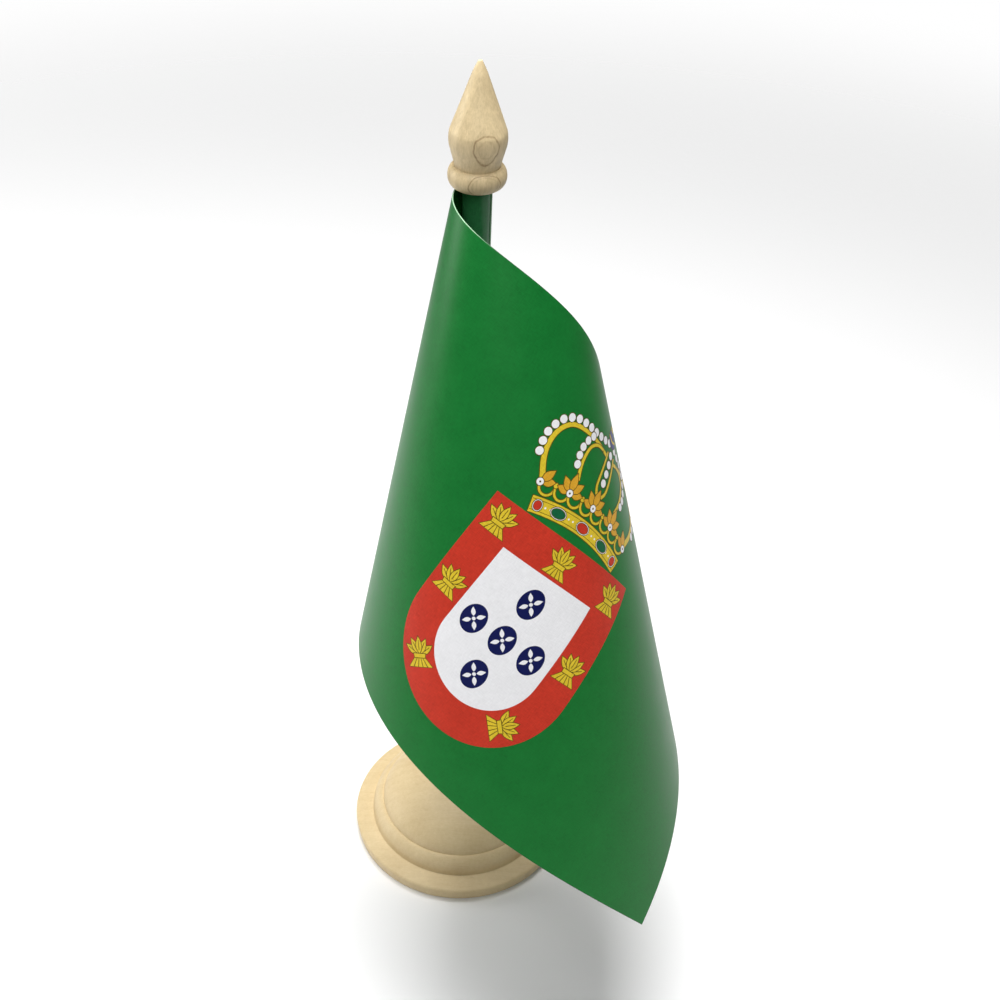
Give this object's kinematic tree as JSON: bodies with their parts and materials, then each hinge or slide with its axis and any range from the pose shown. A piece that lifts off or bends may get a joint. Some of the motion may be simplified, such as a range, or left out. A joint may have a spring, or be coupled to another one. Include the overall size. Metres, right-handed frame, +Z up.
{
  "type": "desk flag stand",
  "caption": "Table flag on a round wooden pole in a turned, domed foot; the stiff printed sheet hangs in a curl from a sleeve that turns on the pole, under a turned spear finial.",
  "frame": {"origin": "middle of the foot's flat underside, on the table", "axes": "+Z up along the pole, the flag's printed front faces -Y, +X to the right seen from the front"},
  "size_m": [0.1237, 0.1544, 0.3384],
  "materials": {
    "turned_wood": "bare sanded pale hardwood, matte",
    "dowel_wood": "bare sanded dowel, matte",
    "finial_wood": "bare sanded pale hardwood, matte",
    "flag_print": "smooth printed satin, coated and stiff",
    "sleeve_cloth": "smooth printed satin, coated and stiff"
  },
  "bodies": {
    "foot": {"foot": "turned_wood"},
    "pole": {"pole": "dowel_wood", "finial": "finial_wood"},
    "flag": {"flag_sheet": "flag_print", "flag_sleeve": "sleeve_cloth"}
  },
  "joints": [
    {"name": "pole_lift", "type": "slide", "parent": "foot", "child": "pole", "axis": [0, 0, 1], "range_m": [0, 0.03]},
    {"name": "flag_turn", "type": "hinge", "parent": "pole", "child": "flag", "pos_m": [0, 0, 0.224], "axis": [0, 0, 1], "continuous": true}
  ]
}
